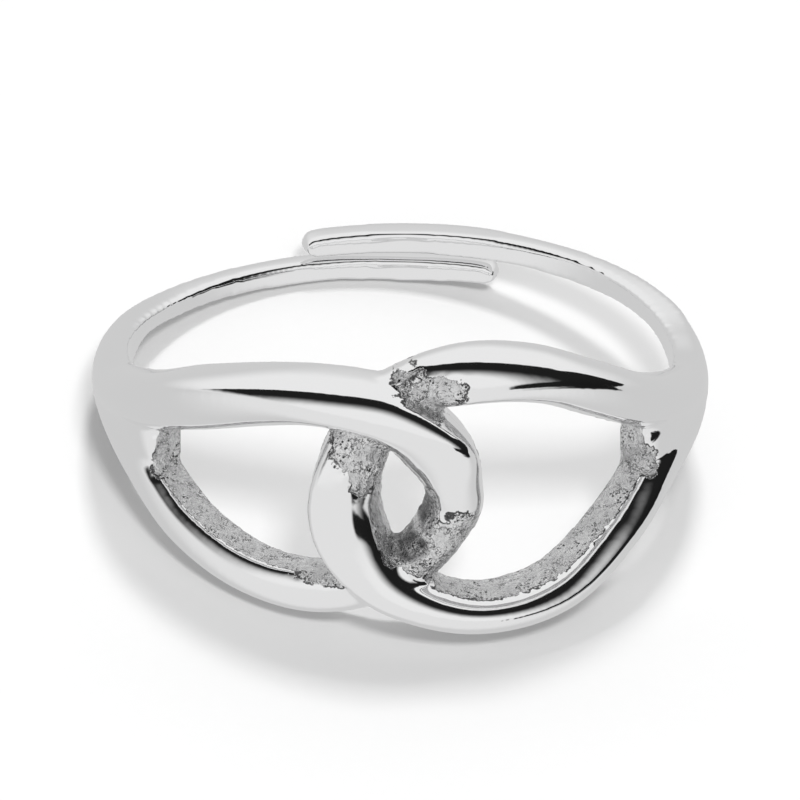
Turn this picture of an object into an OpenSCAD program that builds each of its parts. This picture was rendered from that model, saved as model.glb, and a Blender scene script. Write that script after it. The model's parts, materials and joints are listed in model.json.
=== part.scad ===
// Open ring whose front is two interlocked links, cast in one piece.
// All lengths are in millimetres and all angles in degrees.

/* [Finger hole] */
// Diameter of the finger hole
finger_d = 17.3; // [15:0.1:22]

/* [Links] */
// Height of the two links together, along the finger
link_h = 9.6; // [8.4:0.1:12]
// Width of a link's strand
strand_w = 1.7; // [1.4:0.05:2]
// Thickness of the front where one strand lies on the other
crossing_t = 2.5; // [2.2:0.05:3]

/* [Shank] */
// Thickness of the shoulders at the two sides
shoulder_t = 1.2; // [1:0.05:1.6]
// Width of each arm, along the finger
arm_w = 0.76; // [0.6:0.02:1]
// Thickness of each arm
arm_t = 1.15; // [0.9:0.05:1.5]
// Free gap between the two arms at the back
arm_gap = 0.2; // [0.1:0.02:0.4]
// Angle over which the two arms lie side by side
overlap = 41; // [20:1:60]

/* [Hidden] */
finger_r = finger_d / 2;
// Both arms pass the back centre by half the overlap
tip_turn = 180 + overlap / 2;
// Steps between two rows of a table
link_steps = 5;
shank_steps = 4;
// Share of a strand's thickness that is a straight side wall
wall_share = 0.5;
// Depth of the blank inside the finger hole, which the hole cuts away
spare = 0.35;
silver = [0.78, 0.78, 0.79];

// Links. Each row: angle round the finger, height as a share of link_h,
// crest between the shoulder's thickness (0) and the crossing's (1), width as a share of strand_w.
right_link = [
    [94, -0.040, -0.12, 0.40],
    [70, 0.030, 0.07, 0.84],
    [54, 0.115, 0.18, 0.98],
    [39, 0.240, 0.30, 1.02],
    [26, 0.343, 0.38, 0.99],
    [13, 0.378, 0.38, 1.00],
    [1, 0.312, 0.42, 1.05],
    [-7, 0.165, 0.54, 1.22],
    [-10, -0.013, 0.74, 1.28],
    [-8, -0.195, 0.92, 1.18],
    [-1.5, -0.358, 0.99, 0.96],
    [13, -0.463, 0.94, 0.80],
    [30, -0.440, 0.73, 0.79],
    [46, -0.290, 0.50, 0.88],
    [59, -0.150, 0.28, 0.92],
    [74, -0.085, 0.08, 0.85],
    [94, -0.065, -0.12, 0.40]
];
left_link = [
    [-94, -0.060, -0.12, 0.40],
    [-74, -0.060, 0.06, 0.85],
    [-59, -0.143, 0.18, 0.93],
    [-45, -0.279, 0.29, 0.88],
    [-29, -0.376, 0.37, 0.86],
    [-14, -0.392, 0.38, 0.92],
    [1, -0.302, 0.42, 0.95],
    [9.5, -0.120, 0.53, 1.06],
    [9.5, -0.001, 0.73, 1.08],
    [6, 0.110, 0.91, 1.10],
    [-2, 0.248, 0.98, 0.84],
    [-13.5, 0.294, 0.95, 0.84],
    [-26, 0.267, 0.77, 0.95],
    [-41, 0.188, 0.50, 0.95],
    [-57, 0.094, 0.27, 0.93],
    [-74, 0.027, 0.08, 0.84],
    [-94, -0.020, -0.12, 0.40]
];

// Shoulders. Each row: angle from the front, top and bottom edge as shares of link_h,
// thickness as a share of shoulder_t.
right_shoulder = [
    [52.5, 0.030, -0.125, 0.95],
    [56, 0.065, -0.140, 1.08],
    [64, 0.090, -0.145, 1.08],
    [73, 0.080, -0.152, 1.05],
    [82, 0.054, -0.149, 1.01],
    [90, 0.042, -0.138, 0.98]
];
left_shoulder = [
    [52.5, 0.020, -0.130, 0.95],
    [56, 0.060, -0.145, 1.08],
    [64, 0.100, -0.145, 1.08],
    [73, 0.098, -0.150, 1.05],
    [82, 0.080, -0.149, 1.01],
    [90, 0.066, -0.140, 0.99]
];

// Arms. Each row: angle from the front, middle height and width as shares of arm_w,
// thickness as a share of arm_t.
right_arm = [
    [98, -0.20, 1.50, 0.96],
    [102, -0.10, 1.30, 0.94],
    [106, 0.00, 1.16, 0.92],
    [112, 0.16, 1.05, 0.92],
    [124, 0.36, 1.10, 0.84],
    [138, 0.48, 1.16, 0.78],
    [152, 0.56, 1.10, 0.84],
    [166, 0.60, 1.06, 1.00]
];
left_arm = [
    [98, -0.14, 1.60, 0.96],
    [103, -0.10, 1.30, 0.93],
    [107, -0.05, 1.05, 0.90],
    [113, -0.08, 0.92, 0.88],
    [125, -0.25, 0.90, 0.88],
    [138, -0.32, 0.93, 0.80],
    [152, -0.42, 0.98, 0.80],
    [166, -0.50, 0.96, 0.86]
];

// Rounding of an arm's tip. Each row: angle before the end, width and thickness as shares of the arm's.
tip_rounding = [
    [6, 0.95, 1.00],
    [2.5, 0.88, 0.95],
    [1, 0.70, 0.80],
    [0, 0.35, 0.55]
];

// Profile of a strand: side as a share of half its width, depth as a share of its domed part.
dome = [
    [-1, 0],
    [-0.93, 0.38],
    [-0.77, 0.68],
    [-0.45, 0.92],
    [0, 1],
    [0.45, 0.92],
    [0.77, 0.68],
    [0.93, 0.38],
    [1, 0]
];

// A row of a table at a step between its rows, on a smooth curve through them.
function blend(p0, p1, p2, p3, t) =
    let (bend = 2 * p0 - 5 * p1 + 4 * p2 - p3, twist = 3 * p1 - p0 - 3 * p2 + p3)
    (2 * p1 + (p2 - p0) * t + bend * t * t + twist * t * t * t) / 2;
function row_at(rows, i, t) =
    blend(rows[max(i - 1, 0)], rows[i], rows[i + 1], rows[min(i + 2, len(rows) - 1)], t);
function smooth_rows(rows, steps) = [
    for (i = [0:len(rows) - 2]) for (k = [0:steps - 1]) row_at(rows, i, k / steps),
    rows[len(rows) - 1]
];
function on_cylinder(angle, radius, height) = [radius * sin(angle), -radius * cos(angle), height];
function to_angle(length, radius) = length / radius * 180 / PI;

// Profile points: straight side walls from an inner depth, then a dome. Each: side, depth.
function profile(thickness, inner) =
    let (wall = wall_share * thickness)
    concat([[-1, inner]], [for (p = dome) [p[0], wall + p[1] * (thickness - wall)]], [[1, inner]]);

// A strand runs over the finger in any direction. Its rows: angle, height, thickness, half width, direction.
function strand_row(a, row, b) = [
    row[0],
    row[1] * link_h,
    shoulder_t + row[2] * (crossing_t - shoulder_t),
    row[3] * strand_w / 2,
    atan2((b[1] - a[1]) * link_h, (b[0] - a[0]) * PI / 180 * finger_r)
];
function strand_rows(rows) =
    let (fine = smooth_rows(rows, link_steps), last = len(fine) - 1)
    [for (i = [0:last]) strand_row(fine[max(i - 1, 0)], fine[i], fine[min(i + 1, last)])];
function strand_point(row, side, depth) = on_cylinder(
    row[0] - to_angle(side * row[3] * sin(row[4]), finger_r + row[2] / 2),
    finger_r + depth,
    row[1] + side * row[3] * cos(row[4])
);
function strand_rings(rows, inner) =
    [for (r = strand_rows(rows)) [for (q = profile(r[2], inner)) strand_point(r, q[0], q[1])]];

// The shank runs round the finger. Its rows: angle, bottom edge, top edge, thickness.
function shoulder_row(r) = [r[0], r[2] * link_h, r[1] * link_h, r[3] * shoulder_t];
function arm_row(r) = [r[0], (r[1] - r[2] / 2) * arm_w, (r[1] + r[2] / 2) * arm_w, r[3] * arm_t];
// Where the arms overlap, each keeps half the gap from the middle plane. The upper one has up = 1, the lower -1.
function lap_middle(up) = up * (arm_gap + arm_w) / 2;
function lap_row(up, turn, width, thick) =
    [turn, lap_middle(up) - width * arm_w / 2, lap_middle(up) + width * arm_w / 2, thick * arm_t];
function half_shank(shoulder, arm, up) = concat(
    [for (r = shoulder) shoulder_row(r)],
    [for (r = arm) arm_row(r)],
    [lap_row(up, 180, 1, 1)],
    [for (r = tip_rounding) lap_row(up, tip_turn - r[0], r[1], r[2])]
);
function shank_ring(side, row, inner) =
    let (mid = (row[1] + row[2]) / 2, half = (row[2] - row[1]) / 2)
    [for (q = profile(row[3], inner)) on_cylinder(side * row[0], finger_r + q[1], mid + q[0] * half)];
function shank_rings(side, rows, inner) =
    [for (r = smooth_rows(rows, shank_steps)) shank_ring(side, r, inner)];

// The four bodies of the casting, from an inner depth outwards.
function bodies(inner) = [
    strand_rings(right_link, inner),
    strand_rings(left_link, inner),
    shank_rings(1, half_shank(right_shoulder, right_arm, 1), inner),
    shank_rings(-1, half_shank(left_shoulder, left_arm, -1), inner)
];
surface = [for (body = bodies(0)) for (r = body) each r];
function span(points, k) = [min([for (p = points) p[k]]), max([for (p = points) p[k]])];
// The tables give the height closely, and this brings it to link_h.
stretch = link_h / (span(surface, 2)[1] - span(surface, 2)[0]);

// The ring lies on its side on three feet: each link's lowest edge and the lower arm.
// A first guess of what is up, from the feet that are lowest along the finger, is made better once.
function stretched(points) = [for (p = points) [p[0], p[1], p[2] * stretch]];
function lowest(points, up) =
    let (heights = [for (p = points) p * up], low = min(heights))
    [for (i = [0:len(points) - 1]) if (heights[i] == low) points[i]][0];
right_edges = stretched([for (r = bodies(0)[0]) each r]);
left_edges = stretched([for (r = bodies(0)[1]) each r]);
back_edges = stretched([for (r = bodies(0)[3]) for (p = r) if (p[1] > finger_r / 2) p]);
function up_of(right_foot, left_foot, arm_foot) = cross(left_foot - arm_foot, right_foot - arm_foot);
function better_up(up) = up_of(lowest(right_edges, up), lowest(left_edges, up), lowest(back_edges, up));
up_dir = better_up(better_up([0, 0, 1]));
rest_tilt = atan2(up_dir[1], up_dir[2]);
rest_lean = -atan2(up_dir[0], norm([up_dir[1], up_dir[2]]));
function tilted(p) = [
    p[0],
    p[1] * cos(rest_tilt) - p[2] * sin(rest_tilt),
    p[1] * sin(rest_tilt) + p[2] * cos(rest_tilt)
];
function leaned(p) = [
    p[0] * cos(rest_lean) + p[2] * sin(rest_lean),
    p[1],
    p[2] * cos(rest_lean) - p[0] * sin(rest_lean)
];
resting = [for (p = stretched(surface)) leaned(tilted(p))];
// The ring is moved so that its box stands on the floor round the origin.
to_origin = [
    -(span(resting, 0)[0] + span(resting, 0)[1]) / 2,
    -(span(resting, 1)[0] + span(resting, 1)[1]) / 2,
    -span(resting, 2)[0]
];

// Skin over rings of points, closed at both ends, with its faces turned over where flip is true.
module skin(rings, flip = false) {
    n = len(rings[0]);
    m = len(rings);
    sides = [
        for (i = [0:m - 2]) for (j = [0:n - 1])
            let (a = i * n + j, b = i * n + (j + 1) % n)
            each [[a, b, b + n], [a, b + n, a + n]]
    ];
    ends = [[for (j = [n - 1:-1:0]) j], [for (j = [0:n - 1]) (m - 1) * n + j]];
    faces = concat(sides, ends);
    polyhedron(
        points = [for (r = rings) each r],
        faces = flip ? [for (f = faces) [for (k = [len(f) - 1:-1:0]) f[k]]] : faces,
        convexity = 8
    );
}

// Both links and both halves of the shank, still filled at the finger.
module casting() {
    blanks = bodies(-spare);
    skin(blanks[0]);
    skin(blanks[1]);
    skin(blanks[2]);
    skin(blanks[3], flip = true);
}

module ring() {
    color(silver)
        translate(to_origin)
            rotate([rest_tilt, rest_lean, 0])
                difference() {
                    resize([0, 0, link_h])
                        casting();
                    translate([0, 0, -link_h])
                        cylinder(r = finger_r, h = 2 * link_h, $fn = 128);
                }
}

ring();
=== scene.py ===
"""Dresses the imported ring: one silver casting, polished outside and left as cast inside its links."""

import json
import math

import bpy
import numpy as np
from mathutils import Matrix, Vector


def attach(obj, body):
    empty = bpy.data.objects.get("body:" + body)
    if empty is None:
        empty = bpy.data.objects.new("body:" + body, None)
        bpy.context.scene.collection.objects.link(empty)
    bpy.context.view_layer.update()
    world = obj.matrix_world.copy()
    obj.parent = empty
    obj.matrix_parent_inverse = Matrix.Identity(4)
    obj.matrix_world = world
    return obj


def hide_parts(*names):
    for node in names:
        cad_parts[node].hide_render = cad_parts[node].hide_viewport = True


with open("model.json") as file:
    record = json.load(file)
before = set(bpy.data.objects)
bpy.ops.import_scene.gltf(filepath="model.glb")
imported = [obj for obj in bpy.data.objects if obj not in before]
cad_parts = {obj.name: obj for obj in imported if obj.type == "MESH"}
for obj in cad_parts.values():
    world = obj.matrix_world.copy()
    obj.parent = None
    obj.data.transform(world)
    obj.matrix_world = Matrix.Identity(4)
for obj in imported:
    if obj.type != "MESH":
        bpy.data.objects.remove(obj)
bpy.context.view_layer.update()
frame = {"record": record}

bl_info = {
    "name": "Interlocked link ring",
    "version": (1, 0, 0),
    "blender": (4, 5, 0),
    "location": "View3D > Sidebar > Ring",
    "description": "Builds the silver casting of an open ring with two interlocked links, and its stage",
    "category": "Object",
}

HOLE = frame["record"]["mounts"][0]
MM = 0.001

# Each link's rows: angle round the finger from the front in degrees, height as a share of the link height,
# thickness from the shoulder's (0) to the crossing's (1), width as a share of the strand width, lean of the
# crest towards the opening in half widths, height of the walls beside the opening and beside the outside as
# shares of the thickness, rounding of the outer edge at the finger in half widths.
RIGHT_LINK = (
    (94, -0.040, -0.12, 0.40, 0.0, 0.30, 0.30, 0.05),
    (70, 0.030, 0.14, 0.84, 0.1, 0.35, 0.25, 0.05),
    (54, 0.113, 0.34, 0.98, -0.2, 0.50, 0.40, 0.05),
    (39, 0.240, 0.46, 1.02, -0.1, 0.52, 0.38, 0.12),
    (26, 0.345, 0.58, 0.98, 0.35, 0.52, 0.33, 0.20),
    (13, 0.380, 0.64, 0.96, 0.55, 0.52, 0.28, 0.20),
    (1, 0.316, 0.20, 1.02, 0.3, 0.50, 0.35, 0.20),
    (-7, 0.165, 0.30, 1.22, -0.3, 0.40, 0.20, 0.05),
    (-10, -0.013, 0.80, 1.28, -0.75, 0.25, 0.18, 0.05),
    (-8, -0.195, 0.98, 1.20, -0.75, 0.25, 0.18, 0.05),
    (-1.5, -0.357, 0.96, 0.97, -0.3, 0.38, 0.18, 0.05),
    (13, -0.460, 0.86, 0.84, 0.1, 0.36, 0.18, 0.05),
    (30, -0.437, 0.68, 0.83, 0.1, 0.38, 0.18, 0.05),
    (46, -0.287, 0.46, 0.88, 0.1, 0.42, 0.18, 0.05),
    (59, -0.150, 0.25, 0.92, 0.0, 0.50, 0.20, 0.05),
    (74, -0.085, 0.08, 0.85, 0.0, 0.35, 0.28, 0.05),
    (94, -0.065, -0.12, 0.40, 0.0, 0.30, 0.30, 0.05),
)
LEFT_LINK = (
    (-94, -0.060, -0.12, 0.40, 0.0, 0.30, 0.30, 0.05),
    (-74, -0.060, 0.06, 0.85, 0.0, 0.35, 0.28, 0.05),
    (-59, -0.143, 0.18, 0.93, 0.0, 0.56, 0.20, 0.05),
    (-45, -0.279, 0.29, 0.88, 0.0, 0.68, 0.18, 0.05),
    (-29, -0.376, 0.37, 0.86, -0.1, 0.70, 0.18, 0.05),
    (-14, -0.392, 0.38, 0.92, -0.2, 0.68, 0.18, 0.05),
    (1, -0.302, 0.42, 0.95, 0.1, 0.50, 0.18, 0.05),
    (9.6, -0.120, 0.45, 1.06, 0.1, 0.50, 0.25, 0.05),
    (9.9, -0.001, 0.66, 1.12, 0.0, 0.50, 0.32, 0.05),
    (6.8, 0.128, 0.89, 1.26, -0.5, 0.50, 0.52, 0.05),
    (-2, 0.263, 0.98, 1.01, 0.25, 0.50, 0.42, 0.05),
    (-13.5, 0.300, 0.88, 0.90, 0.3, 0.52, 0.34, 0.05),
    (-26, 0.270, 0.71, 1.05, -0.2, 0.52, 0.38, 0.12),
    (-41, 0.194, 0.58, 1.13, -0.5, 0.52, 0.50, 0.05),
    (-57, 0.098, 0.42, 1.02, -0.35, 0.50, 0.44, 0.05),
    (-74, 0.027, 0.13, 0.84, 0.1, 0.35, 0.25, 0.05),
    (-94, -0.020, -0.12, 0.40, 0.0, 0.30, 0.30, 0.05),
)

# Each shoulder's rows: angle from the front, top and bottom edge as shares of the link height, thickness as
# a share of the shoulder's.
RIGHT_SHOULDER = (
    (52.5, 0.030, -0.125, 0.95),
    (56, 0.065, -0.140, 1.08),
    (64, 0.090, -0.145, 1.08),
    (73, 0.080, -0.152, 1.05),
    (82, 0.054, -0.149, 1.01),
    (90, 0.042, -0.138, 0.98),
)
LEFT_SHOULDER = (
    (52.5, 0.020, -0.130, 0.95),
    (56, 0.060, -0.145, 1.08),
    (64, 0.100, -0.145, 1.08),
    (73, 0.098, -0.150, 1.05),
    (82, 0.080, -0.149, 1.007),
    (90, 0.066, -0.140, 0.987),
)

# Each arm's rows: angle from the front, middle height and width as shares of the arm width, thickness as a
# share of the arm's.
RIGHT_ARM = (
    (98, -0.20, 1.50, 0.96),
    (102, -0.10, 1.30, 0.94),
    (106, 0.00, 1.16, 0.92),
    (112, 0.16, 1.05, 0.92),
    (124, 0.36, 1.10, 0.84),
    (138, 0.48, 1.16, 0.78),
    (152, 0.56, 1.10, 0.84),
    (166, 0.60, 1.06, 1.00),
)
LEFT_ARM = (
    (98, -0.14, 1.60, 0.96),
    (103, -0.10, 1.30, 0.93),
    (107, -0.05, 1.05, 0.90),
    (113, -0.08, 0.92, 0.88),
    (125, -0.25, 0.90, 0.88),
    (138, -0.32, 0.93, 0.80),
    (152, -0.42, 0.98, 0.80),
    (166, -0.50, 0.96, 0.86),
)

# Rounding of an arm's tip: angle before the end, width and thickness as shares of the arm's.
TIP_ROUNDING = ((6, 0.95, 1.00), (2.5, 0.88, 0.95), (1, 0.70, 0.80), (0, 0.35, 0.55))

# What the polishing takes off the height of the links, in mm, and the share that it leaves of the arms'
# thickness at the back.
POLISHED_OFF = 0.006
ARM_LEFT = 0.995

# The shank's walls as a share of its thickness, how much higher they are at an arm's top edge, the angles
# from the front in degrees over which they rise to that, and the rounding at the finger in half widths.
SHANK_WALL = 0.45
ARM_WALL_RISE = 0.42
ARM_STARTS = (96, 112)
SHANK_ROUNDING = 0.05

# Steps between two rows of a link's table, and of a shank's.
LINK_STEPS = 16
SHANK_STEPS = 12

# Round a strand's section, as shares of its steps: the ends of the dome, of the outer wall and of the face on
# the finger. The inner wall is the rest.
DOME_END = 0.5
OUTER_WALL_END = 0.64
FACE_END = 0.92

# How far the arms are parted while the skin is made, in mm each, the angles from the front in degrees over
# which that comes in, and the share of the finger's radius behind which a point's height tells its arm.
PARTED_BY = 0.6
PARTED_OVER = (102, 146)
ARMS_MEET = 0.85

# Rounds in which the skin is relaxed. They soften its edges as polishing does.
SOFTENING_ROUNDS = 12

# Values of the lumps' noise that are stretched to the whole grain depth, and the share of it under the wall.
LUMP_CONTRAST = (0.3, 0.7)
LUMP_SUNK = 0.9

# What each point of a strand's path carries.
PATH_COLUMNS = (
    "turn", "height", "thickness", "half_width", "heading", "outer_wall", "inner_wall", "crest", "rounding"
)

# Openings whose walls were left as cast: angle and height share of the middle, reach in mm, how far outwards
# such a wall may face.
OPENINGS = ((33, -0.05, 5.7, 0.24), (-33, -0.05, 5.7, 0.24), (1, 0.03, 2.3, 0.5))

# Patches of a front face that no wheel reached: angle, height share, reach in mm round the finger and along
# it, strength (above 1 it is also dark), greatest height over the finger in mm.
PATCHES = (
    (-8.3, 0.17, 0.78, 1.05, 1.0, 2.0),
    (-6.3, 0.07, 0.5, 0.85, 1.0, 2.3),
    (6.6, 0.35, 0.9, 0.55, 1.0, 2.0),
    (4.5, 0.30, 0.8, 0.5, 1.2, 1.9),
    (2.6, 0.37, 0.75, 0.5, 0.65, 1.9),
    (9.8, -0.21, 1.1, 1.4, 0.95, 9.0),
    (4.5, -0.08, 0.4, 0.9, 1.6, 1.9),
    (1.5, -0.2, 0.8, 0.6, 1.6, 2.0),
    (4.0, -0.26, 0.6, 0.35, 1.2, 2.1),
    (-4.0, 0.12, 0.4, 0.45, 1.2, 2.0),
    (-51, -0.09, 0.4, 0.45, 1.1, 9.0),
    (52.5, -0.085, 0.45, 0.5, 1.2, 9.0),
    (-13.5, -0.325, 1.1, 0.25, 0.7, 9.0),
)

# Angles from the front, in degrees, over which the openings' rough walls come to an end.
ROUGH_ENDS = (60, 66)
# How squarely a wall faces its opening's middle where it starts to be rough, and where it is wholly so.
ROUGH_FACING = (0.4, 0.62)
# Half the width of the edge of an opening's reach in mm, and of the limit outwards.
REACH_EDGE = 0.4
OUTWARD_EDGE = 0.12
# Shares of a patch's reach over which it fades, and half the width of its upper edge in mm.
PATCH_FADE = (0.5, 1.3)
PATCH_TOP_EDGE = 0.12
# Heights over the finger, in mm, over which the polish of the finger hole ends.
HOLE_POLISH = (0.03, 0.1)
# Height over the finger, in mm, at which angles are turned into lengths along the front.
FRONT_DEPTH = 1
# Keeps a length from being 0 where something is divided by it.
TINY = 1e-6

# A casting of fewer faces than this has failed.
FEWEST_FACES = 1000

# Patterns of the silver and of the floor, in marks to the metre.
WRINKLE_SCALE = 6500.0
RAG_SCALE = 3000.0
CLOUD_SCALE = 1500.0
PIT_SCALE = 7800.0
WEAR_SCALE = 900.0
FLOOR_SCALE = 2500.0

# Values of as_cast over which the silver turns rough, how strongly that edge is torn, how far from its
# middle the burr ends, and the values over which the colour of the deep hollows is darkened.
WHEEL_END = (0.4, 0.5)
TEAR = 9.0
BURR_EDGE = (0.06, 0.16)
HOLLOW_DARKENING = (1.05, 1.6)

# Half the floor's side, in metres, and its darkest grain as a share of its colour.
FLOOR_HALF = 1.5
FLOOR_GRAIN = 0.985

# Lights: name, azimuth and elevation in degrees, distance and size in metres.
LIGHTS = (
    ("key", 8, 53, 0.45, 0.08),
    ("back", 177, 68, 0.45, 0.08),
    ("fill", 0, 90, 0.6, 0.5),
)

# The dark gap of the tent: the way that counts as straight behind (azimuth and elevation), the angles behind
# the plane across it over which the gap comes in softly and ends crisply, all in degrees, and the share of
# the tent's light that it takes.
GAP_WAY = (178.8, -12.9)
GAP_SOFT = (-44, -15)
GAP_CRISP = (5, 6.5)
GAP_DARKNESS = 0.985
# At the far right the gap is wider. Each row: the sideways share of a direction where that starts and where
# it is full, the angles over the floor over which it comes in and over which it ends, and how far an edge is
# moved, backwards below 0 and to the front above. The first row is for the crisp edge, the second for the
# soft one.
GAP_REACHES = (
    ((0.77, 0.83), (5, 10), (36, 44), -17),
    ((0.6, 0.75), (3.5, 6.5), (12, 20), 32),
)

# Camera: the point that it is set by in mm, the ways from there to it and to its right, its distance in
# metres, how far it is lowered in mm so that the ring stands at its place in the picture, focal length in mm.
VIEW_MIDDLE = (-0.026, 1.024, 2.941)
VIEW_BACK = (-0.0546, -0.8054, 0.5903)
VIEW_RIGHT = (0.996, 0.0, 0.092)
VIEW_DISTANCE = 0.35
VIEW_LOWERED = 1.196
VIEW_LENS = 493.8


class RingSizes(bpy.types.PropertyGroup):
    """Sizes of the ring, as in its solid model."""

    finger_diameter: bpy.props.FloatProperty(
        name="Finger diameter", description="Diameter of the finger hole",
        default=2 * HOLE["dims"]["r_mm"] * MM, min=0.015, max=0.022,
        unit="LENGTH", subtype="DISTANCE", precision=5,
    )
    link_height: bpy.props.FloatProperty(
        name="Link height", description="Height of the two links together, along the finger",
        default=0.0096, min=0.0084, max=0.012, unit="LENGTH", subtype="DISTANCE", precision=5,
    )
    strand_width: bpy.props.FloatProperty(
        name="Strand width", description="Width of a link's strand",
        default=0.0017, min=0.0014, max=0.002, unit="LENGTH", subtype="DISTANCE", precision=5,
    )
    crossing_thickness: bpy.props.FloatProperty(
        name="Crossing thickness", description="Thickness of the front where one strand lies on the other",
        default=0.0025, min=0.0022, max=0.003, unit="LENGTH", subtype="DISTANCE", precision=5,
    )
    shoulder_thickness: bpy.props.FloatProperty(
        name="Shoulder thickness", description="Thickness of the shoulders at the two sides",
        default=0.0012, min=0.001, max=0.0016, unit="LENGTH", subtype="DISTANCE", precision=5,
    )
    arm_width: bpy.props.FloatProperty(
        name="Arm width", description="Width of each arm, along the finger",
        default=0.00076, min=0.0006, max=0.001, unit="LENGTH", subtype="DISTANCE", precision=5,
    )
    arm_thickness: bpy.props.FloatProperty(
        name="Arm thickness", description="Thickness of each arm",
        default=0.00115, min=0.0009, max=0.0015, unit="LENGTH", subtype="DISTANCE", precision=5,
    )
    arm_gap: bpy.props.FloatProperty(
        name="Arm gap", description="Free gap between the two arms at the back",
        default=0.0002, min=0.0001, max=0.0004, unit="LENGTH", subtype="DISTANCE", precision=5,
    )
    overlap: bpy.props.FloatProperty(
        name="Overlap", description="Angle over which the two arms lie side by side",
        default=math.radians(41), min=math.radians(20), max=math.radians(60),
        unit="ROTATION", subtype="ANGLE",
    )
    grid: bpy.props.FloatProperty(
        name="Casting grid", description="Spacing of the mesh of the casting",
        default=0.000085, min=0.00005, max=0.0003, unit="LENGTH", subtype="DISTANCE", precision=6,
    )


class RingFinish(bpy.types.PropertyGroup):
    """Finish of the silver."""

    silver: bpy.props.FloatVectorProperty(
        name="Silver", description="Colour of the polished silver",
        default=(0.955, 0.955, 0.958), min=0.0, max=1.0, size=3, subtype="COLOR",
    )
    cast_silver: bpy.props.FloatVectorProperty(
        name="Silver as cast", description="Colour of the silver that no wheel has reached",
        default=(0.6, 0.6, 0.605), min=0.0, max=1.0, size=3, subtype="COLOR",
    )
    pit_silver: bpy.props.FloatVectorProperty(
        name="Silver in the pits", description="Colour of the pits and of the burr's hollows",
        default=(0.04, 0.04, 0.042), min=0.0, max=1.0, size=3, subtype="COLOR",
    )
    polish: bpy.props.FloatProperty(
        name="Polish", description="Roughness of the polished faces",
        default=0.06, min=0.0, max=1.0, subtype="FACTOR",
    )
    cast_roughness: bpy.props.FloatProperty(
        name="Cast roughness", description="Roughness of the walls left as cast",
        default=0.24, min=0.0, max=1.0, subtype="FACTOR",
    )
    grain_depth: bpy.props.FloatProperty(
        name="Grain depth", description="Depth of the lumps in the walls left as cast",
        default=0.00007, min=0.0, max=0.0003, unit="LENGTH", subtype="DISTANCE", precision=6,
    )
    grain_size: bpy.props.FloatProperty(
        name="Grain size", description="Size of the lumps in the walls left as cast",
        default=0.00028, min=0.0001, max=0.001, unit="LENGTH", subtype="DISTANCE", precision=6,
    )
    skin_depth: bpy.props.FloatProperty(
        name="Skin depth", description="Depth of the fine wrinkles and pits in the walls left as cast",
        default=0.00008, min=0.0, max=0.0003, unit="LENGTH", subtype="DISTANCE", precision=6,
    )


class RingStage(bpy.types.PropertyGroup):
    """Floor and lights."""

    floor: bpy.props.FloatVectorProperty(
        name="Floor", description="Colour of the floor",
        default=(0.79, 0.79, 0.79), min=0.0, max=1.0, size=3, subtype="COLOR",
    )
    surround: bpy.props.FloatProperty(
        name="Surround", description="Brightness of the white tent over the ring",
        default=0.84, min=0.0, max=5.0,
    )
    horizon: bpy.props.FloatProperty(
        name="Horizon", description="Brightness of the white tent near the floor",
        default=0.62, min=0.0, max=5.0,
    )
    key: bpy.props.FloatProperty(
        name="Key light", description="Power of the soft light above and before the ring",
        default=0.88, min=0.0, max=100.0, unit="POWER",
    )
    back: bpy.props.FloatProperty(
        name="Back light", description="Power of the soft light above and behind the ring",
        default=0.84, min=0.0, max=100.0, unit="POWER",
    )
    fill: bpy.props.FloatProperty(
        name="Fill light", description="Power of the wide light overhead",
        default=0.25, min=0.0, max=100.0, unit="POWER",
    )


class Nodes:
    """Short way to lay out a node tree. add gives the new node, and the other calls give its output."""

    def __init__(self, tree):
        self.tree = tree

    def add(self, kind, *values, **settings):
        """Node of a kind. Values go to its sockets in order, or by name with a dictionary."""
        node = self.tree.nodes.new(kind)
        for name, value in settings.items():
            setattr(node, name, value)
        sockets = values[0].items() if values and isinstance(values[0], dict) else enumerate(values)
        for key, value in sockets:
            socket = node.inputs[key]
            if isinstance(value, bpy.types.NodeSocket):
                self.tree.links.new(value, socket)
            elif value is not None:
                socket.default_value = value
        return node

    def math(self, operation, *values, clamp=False):
        """Result of a sum, product or function of numbers."""
        return self.add("ShaderNodeMath", *values, operation=operation, use_clamp=clamp).outputs[0]

    def map(self, value, low, high, to_low=0.0, to_high=1.0, smooth=False):
        """Number that goes from to_low to to_high as the value goes from low to high, and no further."""
        kind = "SMOOTHSTEP" if smooth else "LINEAR"
        return self.add(
            "ShaderNodeMapRange", value, low, high, to_low, to_high, interpolation_type=kind, clamp=True
        ).outputs[0]

    def by_angle(self, value, low, high, to_low=0.0, to_high=1.0):
        """Smooth step over an angle in radians. low and high are given in degrees."""
        return self.map(value, math.radians(low), math.radians(high), to_low, to_high, smooth=True)

    def mix(self, share, a, b):
        """Colour a where share is 0 and b where it is 1."""
        return self.add("ShaderNodeMix", {0: share, 6: a, 7: b}, data_type="RGBA").outputs[2]

    def blend(self, share, a, b):
        """Number a where share is 0 and b where it is 1."""
        return self.add("ShaderNodeMix", {0: share, 2: a, 3: b}, data_type="FLOAT").outputs[0]

    def noise(self, place, scale, detail, roughness):
        """Value of a cloudy noise, with so many clouds to the metre."""
        values = {"Vector": place, "Scale": scale, "Detail": detail, "Roughness": roughness}
        return self.add("ShaderNodeTexNoise", values).outputs[0]

    def named(self, name):
        """Number that the points of the geometry carry under this name."""
        return self.add("GeometryNodeInputNamedAttribute", name, data_type="FLOAT").outputs[0]


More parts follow.
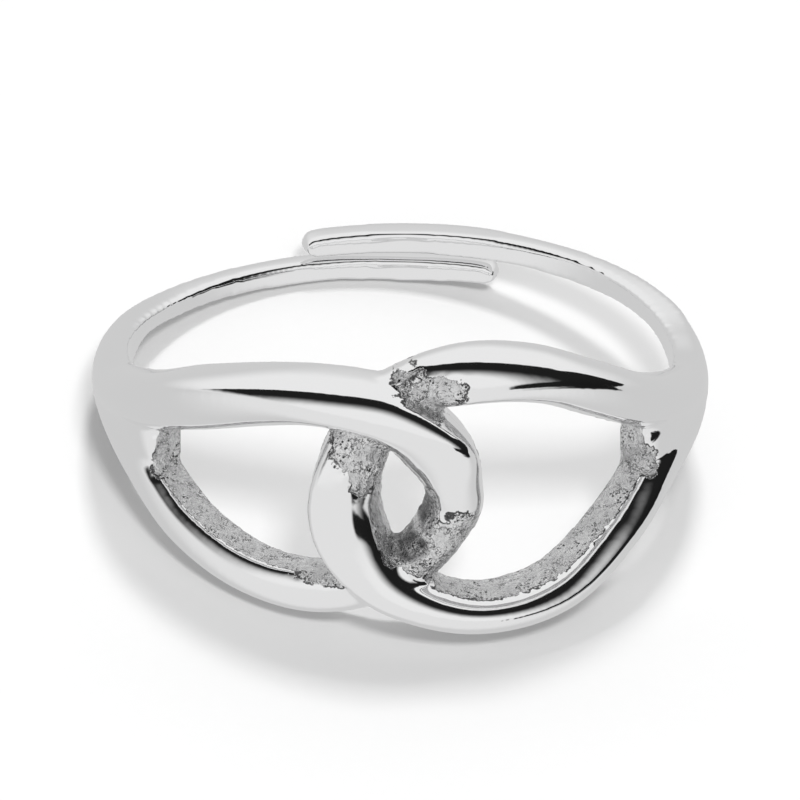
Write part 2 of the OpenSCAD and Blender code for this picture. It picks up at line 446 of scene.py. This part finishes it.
def new_tree(name, inputs):
    """Geometry tree with named inputs, each given as its name, socket kind and default.

    Gives the tree, its inputs and its output node.
    """
    tree = bpy.data.node_groups.new(name, "GeometryNodeTree")
    tree.interface.new_socket("Geometry", in_out="INPUT", socket_type="NodeSocketGeometry")
    tree.interface.new_socket("Geometry", in_out="OUTPUT", socket_type="NodeSocketGeometry")
    for label, kind, default in inputs:
        socket = tree.interface.new_socket(label, in_out="INPUT", socket_type=kind)
        if default is not None:
            socket.default_value = default
    entry = tree.nodes.new("NodeGroupInput")
    leave = tree.nodes.new("NodeGroupOutput")
    return tree, entry.outputs, leave


def close_tree(n, geometry, silver, leave):
    """Ends a tree in real geometry with its material."""
    real = n.add("GeometryNodeRealizeInstances", geometry)
    done = n.add("GeometryNodeSetMaterial", {"Geometry": real.outputs[0], "Material": silver})
    n.tree.links.new(done.outputs[0], leave.inputs[0])


def run_tree(piece, tree, values):
    """Puts a tree on a piece with its inputs set, and gives the mesh that comes out."""
    modifier = piece.modifiers.new(tree.name, "NODES")
    modifier.node_group = tree
    for item in tree.interface.items_tree:
        if item.item_type == "SOCKET" and item.in_out == "INPUT" and item.name in values:
            modifier[item.identifier] = values[item.name]
    return baked(piece)


def baked(piece):
    """Mesh of a piece with its modifiers applied. The modifiers are removed from it."""
    piece.update_tag()
    graph = bpy.context.evaluated_depsgraph_get()
    mesh = bpy.data.meshes.new_from_object(
        piece.evaluated_get(graph), preserve_all_data_layers=True, depsgraph=graph
    )
    piece.modifiers.clear()
    return mesh


def new_piece(name, mesh):
    """Object of a mesh, in the scene."""
    piece = bpy.data.objects.new(name, mesh)
    bpy.context.scene.collection.objects.link(piece)
    return piece


def strand_tree():
    """Sweeps a strand's section along its path, laid over the finger.

    The path's points carry what PATH_COLUMNS names. The section has a straight wall on each side, a dome
    whose crest may lie off its middle, a face on the finger and a rounded edge between that and the outer
    wall.
    """
    tree, given, leave = new_tree(
        "Strand over the finger",
        (
            ("Finger radius", "NodeSocketFloat", 8.65),
            ("Dome roundness", "NodeSocketFloat", 2.1),
            ("Section steps", "NodeSocketInt", 72),
            ("Silver", "NodeSocketMaterial", None),
        ),
    )
    n = Nodes(tree)
    section = n.add("GeometryNodeCurvePrimitiveCircle", mode="RADIUS")
    tree.links.new(given["Section steps"], section.inputs["Resolution"])
    # Round the section come the dome, the outer wall, the face on the finger and the inner wall.
    step = n.math("DIVIDE", n.add("GeometryNodeInputIndex").outputs[0], given["Section steps"])
    turn = n.math("MULTIPLY", n.math("MINIMUM", step, DOME_END), math.pi / DOME_END)
    power = n.math("DIVIDE", 2.0, given["Dome roundness"])
    cosine = n.math("COSINE", turn)
    dome_side = n.math("MULTIPLY", n.math("SIGN", cosine), n.math("POWER", n.math("ABSOLUTE", cosine), power))
    rise = n.math("POWER", n.math("ABSOLUTE", n.math("SINE", turn)), power)
    # The point where the dome ends still counts as a part of it.
    above = n.math("LESS_THAN", step, DOME_END + 0.0001)
    base_side = n.map(step, OUTER_WALL_END, FACE_END, -1.0, 1.0)
    # The edge of the finger hole beside the outer wall is a quarter of an ellipse, as wide as the path's
    # rounding says.
    quarter = n.map(step, DOME_END, OUTER_WALL_END, 0.0, math.pi / 2)
    outer_part = n.math("SUBTRACT", 1.0, n.math("SINE", quarter))
    base_wall = n.math("MAXIMUM", outer_part, n.map(step, FACE_END, 1.0, 0.0, 1.0))
    inwards = n.math("SUBTRACT", 1.0, n.math("COSINE", quarter))
    corner = n.math("MULTIPLY", inwards, n.map(base_side, -1.0, 1.0, 1.0, 0.0))
    line = section.outputs[0]
    for label, on_dome, on_base in (
        ("side", dome_side, base_side),
        ("rise", rise, 0.0),
        ("wall", 1.0, base_wall),
        ("dome", 1.0, 0.0),
        ("corner", 0.0, corner),
    ):
        stored = n.add("GeometryNodeStoreNamedAttribute", line, data_type="FLOAT", domain="POINT")
        stored.inputs["Name"].default_value = label
        tree.links.new(n.blend(above, on_base, on_dome), stored.inputs["Value"])
        line = stored.outputs[0]
    path = n.add("GeometryNodeMeshToCurve", given["Geometry"])
    swept = n.add(
        "GeometryNodeCurveToMesh", {"Curve": path.outputs[0], "Profile Curve": line, "Fill Caps": True}
    )
    # The rule that lays the swept skin on the finger.
    thickness = n.named("thickness")
    half = n.named("half_width")
    heading = n.named("heading")
    side = n.named("side")
    middling = n.math("SUBTRACT", 1.0, n.math("ABSOLUTE", side))
    slant = n.math("MULTIPLY", n.math("MULTIPLY", n.named("crest"), n.named("dome")), middling)
    wall = n.blend(n.math("MULTIPLY_ADD", side, 0.5, 0.5), n.named("outer_wall"), n.named("inner_wall"))
    out = n.math(
        "ADD",
        n.math("MULTIPLY", wall, n.named("wall")),
        n.math("MULTIPLY", n.named("rise"), n.math("SUBTRACT", 1.0, wall)),
    )
    cut = n.math("MULTIPLY", n.named("rounding"), n.named("corner"))
    across = n.math("MULTIPLY", n.math("ADD", n.math("ADD", side, slant), cut), half)
    middle = n.math("MULTIPLY_ADD", thickness, 0.5, given["Finger radius"])
    shift = n.math("DIVIDE", n.math("MULTIPLY", across, n.math("SINE", heading)), middle)
    angle = n.math("SUBTRACT", n.named("turn"), shift)
    radius = n.math("MULTIPLY_ADD", out, thickness, given["Finger radius"])
    place = n.add(
        "ShaderNodeCombineXYZ",
        n.math("MULTIPLY", radius, n.math("SINE", angle)),
        n.math("MULTIPLY", n.math("MULTIPLY", radius, -1.0), n.math("COSINE", angle)),
        n.math("MULTIPLY_ADD", across, n.math("COSINE", heading), n.named("height")),
    )
    laid = n.add("GeometryNodeSetPosition", {"Geometry": swept.outputs[0], "Position": place.outputs[0]})
    close_tree(n, laid.outputs[0], given["Silver"], leave)
    return tree


def fettle_tree():
    """Gives the walls left as cast their lumps, and shades the casting smooth."""
    tree, given, leave = new_tree(
        "Fettled casting",
        (
            ("Grain depth", "NodeSocketFloat", 0.05),
            ("Grain size", "NodeSocketFloat", 0.25),
            ("Seed", "NodeSocketFloat", 3.0),
            ("Silver", "NodeSocketMaterial", None),
        ),
    )
    n = Nodes(tree)
    place = n.add("GeometryNodeInputPosition").outputs[0]
    lumps = n.add(
        "ShaderNodeTexNoise", {"Vector": place, "W": given["Seed"], "Detail": 2.0, "Roughness": 0.6},
        noise_dimensions="4D",
    )
    scale = n.math("DIVIDE", 1.0, given["Grain size"])
    tree.links.new(scale, lumps.inputs["Scale"])
    rise = n.math("SUBTRACT", n.map(lumps.outputs[0], *LUMP_CONTRAST), LUMP_SUNK)
    depth = n.math("MULTIPLY", n.math("MULTIPLY", rise, given["Grain depth"]), n.named("as_cast"))
    move = n.add("ShaderNodeVectorMath", n.add("GeometryNodeInputNormal").outputs[0], operation="SCALE")
    tree.links.new(depth, move.inputs["Scale"])
    rough = n.add("GeometryNodeSetPosition", {"Geometry": given["Geometry"], "Offset": move.outputs[0]})
    smooth = n.add("GeometryNodeSetShadeSmooth", rough.outputs[0])
    close_tree(n, smooth.outputs[0], given["Silver"], leave)
    return tree


def step_up(value, low, high):
    """0 below low, 1 above high, smooth between."""
    t = np.clip((value - low) / (high - low), 0, 1)
    return t * t * (3 - 2 * t)


def smooth_rows(rows, steps):
    """Rows on a smooth curve through the rows of a table, with so many steps between two of them."""
    rows = np.array(rows, float)
    last = len(rows) - 1
    out = []
    for i in range(last):
        p0, p1, p2, p3 = rows[max(i - 1, 0)], rows[i], rows[i + 1], rows[min(i + 2, last)]
        for t in np.arange(steps) / steps:
            bend, twist = 2 * p0 - 5 * p1 + 4 * p2 - p3, 3 * p1 - p0 - 3 * p2 + p3
            out.append((2 * p1 + (p2 - p0) * t + bend * t * t + twist * t**3) / 2)
    return np.array(out + [rows[-1]])


def link_path(table, sizes):
    """Path of a link, with the columns that PATH_COLUMNS names, in millimetres and radians."""
    angle, level, share, width, crest, inner_wall, outer_wall, rounding = smooth_rows(table, LINK_STEPS).T
    turn = np.radians(angle)
    height = level * sizes.link_height / MM
    thin = sizes.shoulder_thickness / MM
    thick = sizes.crossing_thickness / MM
    around = np.gradient(turn) * sizes.finger_diameter / 2 / MM
    heading = np.unwrap(np.arctan2(np.gradient(height), around))
    thickness = thin + share * (thick - thin)
    half_width = width * sizes.strand_width / 2 / MM
    columns = [turn, height, thickness, half_width, heading, outer_wall, inner_wall, crest, rounding]
    return np.stack(columns, axis=1)


def shank_path(side, shoulder, arm, sizes):
    """Path of half a shank: a shoulder, an arm and its tip. side is 1 on the right and -1 on the left."""
    height = sizes.link_height / MM
    wide = sizes.arm_width / MM
    thin = sizes.shoulder_thickness / MM
    thick = sizes.arm_thickness / MM
    lap = side * (sizes.arm_gap + sizes.arm_width) / 2 / MM
    end = 180 + math.degrees(sizes.overlap) / 2
    rows = [(a, (top + low) / 2 * height, (top - low) / 2 * height, t * thin) for a, top, low, t in shoulder]
    rows += [(a, middle * wide, w / 2 * wide, t * thick) for a, middle, w, t in arm]
    thick *= ARM_LEFT
    rows += [(180, lap, wide / 2, thick)]
    rows += [(end - before, lap, w * wide / 2, t * thick) for before, w, t in TIP_ROUNDING]
    angle, level, half_width, thickness = smooth_rows(rows, SHANK_STEPS).T
    same = np.ones(len(angle))
    turn = side * np.radians(angle)
    heading = same * (0.0 if side > 0 else math.pi)
    # An arm is nearly square at its top edge, and the shoulders are round.
    top = SHANK_WALL + ARM_WALL_RISE * step_up(angle, *ARM_STARTS)
    bottom = SHANK_WALL * same
    outer_wall, inner_wall = (bottom, top) if side > 0 else (top, bottom)
    crest = 0 * same
    rounding = SHANK_ROUNDING * same
    columns = [turn, level, thickness, half_width, heading, outer_wall, inner_wall, crest, rounding]
    return np.stack(columns, axis=1)


def swept_strand(name, path, tree, sizes):
    """Mesh of one strand, in millimetres, with the finger along Z."""
    mesh = bpy.data.meshes.new(name)
    count = len(path)
    mesh.from_pydata([(i, 0, 0) for i in range(count)], [(i, i + 1) for i in range(count - 1)], [])
    for column, label in enumerate(PATH_COLUMNS):
        layer = mesh.attributes.new(label, "FLOAT", "POINT")
        layer.data.foreach_set("value", np.ascontiguousarray(path[:, column], dtype=np.float32))
    piece = new_piece(name, mesh)
    swept = run_tree(piece, tree, {"Finger radius": sizes.finger_diameter / 2 / MM})
    bpy.data.objects.remove(piece)
    bpy.data.meshes.remove(mesh)
    return swept


def read_rows(items, label, width, kind):
    """Values of one property of many items, a row for each."""
    flat = np.empty(width * len(items), kind)
    items.foreach_get(label, flat)
    return flat.reshape(-1, width)


def points_of(mesh):
    """Places of a mesh's points."""
    return read_rows(mesh.vertices, "co", 3, np.float32).astype(float)


def normals_of(mesh):
    """Directions that a mesh's points face."""
    return read_rows(mesh.vertex_normals, "vector", 3, np.float32).astype(float)


def edges_of(mesh):
    """The two points of each edge of a mesh."""
    return read_rows(mesh.edges, "vertices", 2, np.int32)


def place_points(mesh, points):
    """Moves a mesh's points to new places."""
    mesh.vertices.foreach_set("co", points.astype(np.float32).ravel())


def joined(meshes, name):
    """One mesh of several."""
    points, faces, start = [], [], 0
    for mesh in meshes:
        points.append(points_of(mesh))
        faces += [[v + start for v in p.vertices] for p in mesh.polygons]
        start += len(mesh.vertices)
    out = bpy.data.meshes.new(name)
    out.from_pydata(np.concatenate(points).tolist(), [], faces)
    return out


def relaxed(points, edges, rounds):
    """Points moved half way to the mean of their neighbours, so many times."""
    first, second = edges[:, 0], edges[:, 1]
    count = np.bincount(first, minlength=len(points)) + np.bincount(second, minlength=len(points))
    for _ in range(rounds):
        total = np.empty_like(points)
        for k in range(points.shape[1]):
            total[:, k] = np.bincount(first, points[second, k], len(points))
            total[:, k] += np.bincount(second, points[first, k], len(points))
        points = points + 0.5 * (total / count[:, None] - points)
    return points


def parting(points):
    """How far each point of an arm is moved away from the other arm, in millimetres."""
    angle = np.degrees(np.abs(np.arctan2(points[:, 0], -points[:, 1])))
    return PARTED_BY * step_up(angle, *PARTED_OVER)


def as_cast(points, normals, sizes):
    """How far each point was left as cast: 0 is polished, 1 is rough, and above 1 it is also dark."""
    radius = np.hypot(points[:, 0], points[:, 1])
    angle = np.arctan2(points[:, 0], -points[:, 1])
    height = points[:, 2]
    bore = sizes.finger_diameter / 2 / MM
    out = (normals[:, 0] * points[:, 0] + normals[:, 1] * points[:, 1]) / radius
    around = (normals[:, 1] * points[:, 0] - normals[:, 0] * points[:, 1]) / radius
    share = sizes.link_height / MM
    front = 1 - step_up(np.abs(angle), *np.radians(ROUGH_ENDS))
    rough = np.zeros(len(points))
    for middle, level, reach, outwards in OPENINGS:
        along = (math.radians(middle) - angle) * (bore + FRONT_DEPTH)
        rise = level * share - height
        far = np.hypot(along, rise) + TINY
        facing = (around * along + normals[:, 2] * rise) / far
        near = 1 - step_up(far, reach - REACH_EDGE, reach + REACH_EDGE)
        near = near * (1 - step_up(out, outwards - OUTWARD_EDGE, outwards + OUTWARD_EDGE))
        rough = np.maximum(rough, front * near * step_up(facing, *ROUGH_FACING))
    for middle, level, wide, tall, strength, over in PATCHES:
        along = (angle - math.radians(middle)) * (bore + FRONT_DEPTH) / wide
        rise = (height - level * share) / tall
        below = 1 - step_up(radius - bore, over - PATCH_TOP_EDGE, over + PATCH_TOP_EDGE)
        rough = np.maximum(rough, below * strength * (1 - step_up(np.hypot(along, rise), *PATCH_FADE)))
    return rough * step_up(radius - bore, *HOLE_POLISH)


def parted_blank(sizes):
    """Mesh of the four strands, not yet one skin, and the middle of its height, in millimetres."""
    tree = strand_tree()
    paths = {
        "right_link": link_path(RIGHT_LINK, sizes),
        "left_link": link_path(LEFT_LINK, sizes),
        "right_shank": shank_path(1, RIGHT_SHOULDER, RIGHT_ARM, sizes),
        "left_shank": shank_path(-1, LEFT_SHOULDER, LEFT_ARM, sizes),
    }
    strands = [swept_strand(name, path, tree, sizes) for name, path in paths.items()]
    # The arms are parted before the strands become one skin, and go back after it. That keeps their gap open.
    for strand, side in zip(strands[2:], (1, -1)):
        points = points_of(strand)
        points[:, 2] += side * parting(points)
        place_points(strand, points)
    blank = joined(strands, "blank")
    points = points_of(blank)
    low, high = points[:, 2].min(), points[:, 2].max()
    # The tables give the height closely. This brings it to the link height less what the polishing takes off.
    points[:, 2] *= (sizes.link_height / MM - POLISHED_OFF) / (high - low)
    middle = points[:, 2].min() / 2 + points[:, 2].max() / 2
    place_points(blank, points)
    return blank, middle


def one_skin(blank, sizes):
    """The blank as a piece of one closed skin, with its arms side by side and as_cast on its points."""
    piece = new_piece("blank", blank)
    remesh = piece.modifiers.new("One casting", "REMESH")
    remesh.mode = "VOXEL"
    remesh.voxel_size = sizes.grid / MM
    casting = baked(piece)
    points = relaxed(points_of(casting), edges_of(casting), SOFTENING_ROUNDS)
    # At the back the upper arm is the right one, and further round each arm is on its own side.
    at_back = points[:, 1] > ARMS_MEET * sizes.finger_diameter / 2 / MM
    side = np.sign(np.where(at_back, points[:, 2], points[:, 0]))
    points[:, 2] -= side * parting(points)
    place_points(casting, points)
    casting.update()
    piece.data = casting
    layer = casting.attributes.new("as_cast", "FLOAT", "POINT")
    rough = as_cast(points, normals_of(casting), sizes)
    layer.data.foreach_set("value", rough.astype(np.float32))
    return piece


def rest_pose(middle):
    """Lays a casting in millimetres, with the finger along Z, where the ring rests in metres."""
    axis = Vector(HOLE["axis"])
    return (
        Matrix.Translation(HOLE["pos_m"])
        @ Matrix.Rotation(math.atan2(axis.x, axis.z), 4, "Y")
        @ Matrix.Rotation(-math.asin(axis.y), 4, "X")
        @ Matrix.Scale(MM, 4)
        @ Matrix.Translation((0, 0, -middle))
    )


def casting_mesh(sizes, finish, silver):
    """Mesh of the whole casting in metres, at rest on the floor."""
    blank, middle = parted_blank(sizes)
    piece = one_skin(blank, sizes)
    grain = {
        "Grain depth": finish.grain_depth / MM,
        "Grain size": finish.grain_size / MM,
        "Silver": silver,
    }
    mesh = run_tree(piece, fettle_tree(), grain)
    bpy.data.objects.remove(piece)
    mesh.transform(rest_pose(middle))
    return mesh


def silver_material(finish):
    """Polished silver that turns to rough, pitted metal where the as_cast attribute says so."""
    material = bpy.data.materials.new("silver")
    material.use_nodes = True
    tree = material.node_tree
    shader = tree.nodes["Principled BSDF"]
    n = Nodes(tree)
    place = n.add("ShaderNodeTexCoord").outputs["Object"]
    cast = n.add("ShaderNodeAttribute", attribute_name="as_cast", attribute_type="GEOMETRY").outputs["Fac"]
    grain = n.noise(place, WRINKLE_SCALE, 4.0, 0.62)
    ragged = n.noise(place, RAG_SCALE, 3.0, 0.6)
    clouds = n.noise(place, CLOUD_SCALE, 3.0, 0.55)
    pitted = n.add("ShaderNodeTexVoronoi", {"Vector": place, "Scale": PIT_SCALE, "Randomness": 1.0})
    cells = pitted.outputs["Distance"]
    wear = n.noise(place, WEAR_SCALE, 5.0, 0.6)
    # Where the wheel's reach ends the silver is torn to a ragged burr.
    doubt = n.math("MULTIPLY", cast, n.math("SUBTRACT", 1.0, cast), clamp=True)
    tear = n.math("MULTIPLY", doubt, n.math("MULTIPLY", n.math("SUBTRACT", ragged, 0.5), TEAR))
    reach = n.math("ADD", cast, tear)
    rough = n.map(reach, *WHEEL_END, smooth=True)
    off_middle = n.math("ABSOLUTE", n.math("SUBTRACT", reach, sum(WHEEL_END) / 2))
    burr = n.map(off_middle, *BURR_EDGE, 1.0, 0.0, smooth=True)
    burr = n.math("MULTIPLY", burr, n.map(clouds, 0.44, 0.52, smooth=True))
    # Wrinkles of the casting's skin, and the pits between them.
    line = n.math("ABSOLUTE", n.math("SUBTRACT", grain, 0.5))
    wrinkle = n.map(line, 0.008, 0.035, 1.0, 0.0, smooth=True)
    wrinkle = n.math("MULTIPLY", wrinkle, n.map(ragged, 0.49, 0.57, smooth=True))
    pit = n.map(cells, 0.16, 0.36, 1.0, 0.0, smooth=True)
    pit = n.math("MULTIPLY", pit, n.map(clouds, 0.51, 0.59, smooth=True))
    hollow = n.math("MULTIPLY", n.math("MAXIMUM", pit, n.math("MULTIPLY", wrinkle, 0.7)), rough)
    hollow = n.math("MAXIMUM", hollow, n.math("MULTIPLY", burr, 0.85))
    # The skin between them is clouded with duller silver.
    shade = n.math("MULTIPLY", rough, n.map(clouds, 0.35, 0.65, 0.45, 0.0))
    shade = n.math("MULTIPLY_ADD", rough, n.map(grain, 0.35, 0.65, 0.25, 0.0), shade)
    plain = n.mix(shade, (*finish.silver, 1), (*finish.cast_silver, 1))
    # In the patches deep between the strands, where as_cast is above 1,
    # the colour is darkened towards the pit colour.
    depth = n.map(cast, *HOLLOW_DARKENING, 0.0, 1.4)
    darkening = n.math("MULTIPLY", depth, n.map(clouds, 0.3, 0.7, 1.0, 0.2), clamp=True)
    plain = n.mix(n.math("MULTIPLY", darkening, 0.8), plain, (*finish.pit_silver, 1))
    tree.links.new(n.mix(hollow, plain, (*finish.pit_silver, 1)), shader.inputs["Base Color"])
    shader.inputs["Metallic"].default_value = 1.0
    # Wear makes the polish a little brighter here and duller there.
    polish = n.map(wear, 0.3, 0.7, finish.polish * 0.7, finish.polish * 1.3)
    turned = n.math("MULTIPLY_ADD", rough, n.math("SUBTRACT", finish.cast_roughness, polish), polish)
    tree.links.new(turned, shader.inputs["Roughness"])
    height = n.math("MULTIPLY", rough, n.math("ADD", n.math("MULTIPLY", ragged, 2.0), grain))
    height = n.math("SUBTRACT", height, n.math("MULTIPLY", hollow, 0.4))
    bump = n.add("ShaderNodeBump", {"Height": height, "Strength": 1.0, "Distance": finish.skin_depth})
    tree.links.new(bump.outputs[0], shader.inputs["Normal"])
    return material


def floor_material(stage):
    """Pale matt paper with a faint grain."""
    material = bpy.data.materials.new("floor")
    material.use_nodes = True
    tree = material.node_tree
    shader = tree.nodes["Principled BSDF"]
    n = Nodes(tree)
    place = n.add("ShaderNodeTexCoord").outputs["Object"]
    grain = n.noise(place, FLOOR_SCALE, 3.0, 0.5)
    pale = (*stage.floor, 1)
    less = (*(FLOOR_GRAIN * c for c in stage.floor), 1)
    tree.links.new(n.mix(grain, less, pale), shader.inputs["Base Color"])
    shader.inputs["Roughness"].default_value = 0.9
    shader.inputs["Specular IOR Level"].default_value = 0.1
    return material


def studio_world(stage):
    """White tent round the ring, grey near the floor, with a dark gap from side to side over the ring."""
    world = bpy.data.worlds.new("studio")
    bpy.context.scene.world = world
    world.use_nodes = True
    tree = world.node_tree
    n = Nodes(tree)
    way = n.add("ShaderNodeTexCoord").outputs["Generated"]
    apart = n.add("ShaderNodeSeparateXYZ", way).outputs
    height = n.math("ARCSINE", apart["Z"])
    # How far a direction lies behind the plane that stands across the view, in radians.
    across = n.add("ShaderNodeVectorMath", way, direction(*GAP_WAY), operation="DOT_PRODUCT")
    behind = n.math("ARCSINE", across.outputs["Value"])
    right = n.map(apart["X"], -0.1, 0.1, smooth=True)
    edges = []
    for sideways, comes_in, ends, moved in GAP_REACHES:
        far = n.map(apart["X"], *sideways, 0.0, math.radians(moved), smooth=True)
        over = n.by_angle(height, *comes_in)
        under = n.by_angle(height, *ends, 1.0, 0.0)
        edges.append(n.math("MULTIPLY_ADD", far, n.math("MULTIPLY", over, under), behind))
    back_edge, front_edge = edges
    soft = n.by_angle(front_edge, *GAP_SOFT)
    crisp = n.by_angle(back_edge, *GAP_CRISP, 1.0, 0.0)
    # On the left the gap ends well above the floor, and on the right it goes down to it.
    high = n.by_angle(height, 15, 30)
    low = n.by_angle(height, -5, -1)
    reach = n.math("MAXIMUM", high, n.math("MULTIPLY", right, low))
    gap = n.math("MULTIPLY", n.math("MULTIPLY", soft, crisp), reach)
    # The tent is grey only low down at the sides and behind, where its wall meets the floor.
    above = n.by_angle(height, 2, 28)
    before = n.by_angle(behind, -30, 8, 0.7, 0.0)
    tent = n.map(n.math("MAXIMUM", above, before), 0.0, 1.0, stage.horizon, stage.surround)
    tone = n.math("MULTIPLY", tent, n.math("MULTIPLY_ADD", gap, -GAP_DARKNESS, 1.0))
    sky = tree.nodes["Background"]
    tree.links.new(tone, sky.inputs["Color"])
    sky.inputs["Strength"].default_value = 1.0


def direction(azimuth, elevation):
    """Unit vector: azimuth in degrees from the front towards the right, elevation above the floor."""
    a, e = math.radians(azimuth), math.radians(elevation)
    return Vector((math.cos(e) * math.sin(a), -math.cos(e) * math.cos(a), math.sin(e)))


def add_camera():
    """Camera at the photograph's angle to the ring, 23 degrees above the plane of the shank."""
    middle = Vector(VIEW_MIDDLE) * MM
    back = Vector(VIEW_BACK).normalized()
    right = Vector(VIEW_RIGHT).normalized()
    up = back.cross(right)
    camera = bpy.data.cameras.new("camera")
    camera.sensor_width = 36
    camera.lens = VIEW_LENS
    camera.clip_start = 0.01
    view = bpy.data.objects.new("camera", camera)
    turned = Matrix((right, up, back)).transposed().to_4x4()
    place = middle + VIEW_DISTANCE * back - VIEW_LOWERED * MM * up
    view.matrix_world = Matrix.Translation(place) @ turned
    bpy.context.scene.collection.objects.link(view)
    bpy.context.scene.camera = view


def add_light(name, azimuth, elevation, distance, size, power):
    """Square soft light that faces the ring."""
    light = bpy.data.lights.new(name, "AREA")
    light.shape = "SQUARE"
    light.size = size
    light.energy = power
    lamp = bpy.data.objects.new(name, light)
    way = direction(azimuth, elevation)
    lamp.location = way * distance
    lamp.rotation_euler = way.to_track_quat("Z", "Y").to_euler()
    lamp.visible_glossy = False
    bpy.context.scene.collection.objects.link(lamp)


class RING_OT_casting(bpy.types.Operator):
    """Cast the links, shoulders and arms of the ring as one piece of silver"""

    bl_idname = "ring.casting"
    bl_label = "Ring casting"
    bl_options = {"UNDO"}

    def execute(self, context):
        scene = context.scene
        mesh = casting_mesh(scene.ring_sizes, scene.ring_finish, silver_material(scene.ring_finish))
        if len(mesh.polygons) < FEWEST_FACES:
            raise RuntimeError("the casting came out empty")
        piece = new_piece("ring_casting", mesh)
        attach(piece, "root")
        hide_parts("ring")
        return {"FINISHED"}


class RING_OT_stage(bpy.types.Operator):
    """Lay the floor, and set the studio's lights and the camera"""

    bl_idname = "ring.stage"
    bl_label = "Stage"
    bl_options = {"UNDO"}

    def execute(self, context):
        stage = context.scene.ring_stage
        mesh = bpy.data.meshes.new("floor")
        corners = [(x * FLOOR_HALF, y * FLOOR_HALF, 0) for x, y in ((-1, -1), (1, -1), (1, 1), (-1, 1))]
        mesh.from_pydata(corners, [], [(0, 1, 2, 3)])
        mesh.materials.append(floor_material(stage))
        floor = new_piece("floor", mesh)
        # The silver mirrors the tent alone, as a ring that hangs in one does.
        floor.visible_glossy = False
        studio_world(stage)
        for name, azimuth, elevation, distance, size in LIGHTS:
            add_light(name, azimuth, elevation, distance, size, getattr(stage, name))
        add_camera()
        context.scene.view_settings.view_transform = "Standard"
        return {"FINISHED"}


class RING_PT_panel(bpy.types.Panel):
    """Lists the ring's sizes, finish and stage, with a button for each piece"""

    bl_idname = "RING_PT_panel"
    bl_label = "Ring"
    bl_space_type = "VIEW_3D"
    bl_region_type = "UI"
    bl_category = "Ring"

    def draw(self, context):
        scene = context.scene
        groups = (("Sizes", scene.ring_sizes), ("Finish", scene.ring_finish), ("Stage", scene.ring_stage))
        for title, group in groups:
            box = self.layout.box()
            box.label(text=title)
            for name in group.__annotations__:
                box.prop(group, name)
        for operator in OPERATORS:
            self.layout.operator(operator.bl_idname)


OPERATORS = (RING_OT_casting, RING_OT_stage)
CLASSES = (RingSizes, RingFinish, RingStage, *OPERATORS, RING_PT_panel)


def register():
    for cls in CLASSES:
        bpy.utils.register_class(cls)
    bpy.types.Scene.ring_sizes = bpy.props.PointerProperty(type=RingSizes)
    bpy.types.Scene.ring_finish = bpy.props.PointerProperty(type=RingFinish)
    bpy.types.Scene.ring_stage = bpy.props.PointerProperty(type=RingStage)


def unregister():
    del bpy.types.Scene.ring_stage
    del bpy.types.Scene.ring_finish
    del bpy.types.Scene.ring_sizes
    for cls in reversed(CLASSES):
        bpy.utils.unregister_class(cls)


def main():
    """Registers the add-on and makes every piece."""
    register()
    bpy.ops.ring.casting()
    bpy.ops.ring.stage()


if __name__ == "__main__":
    main()
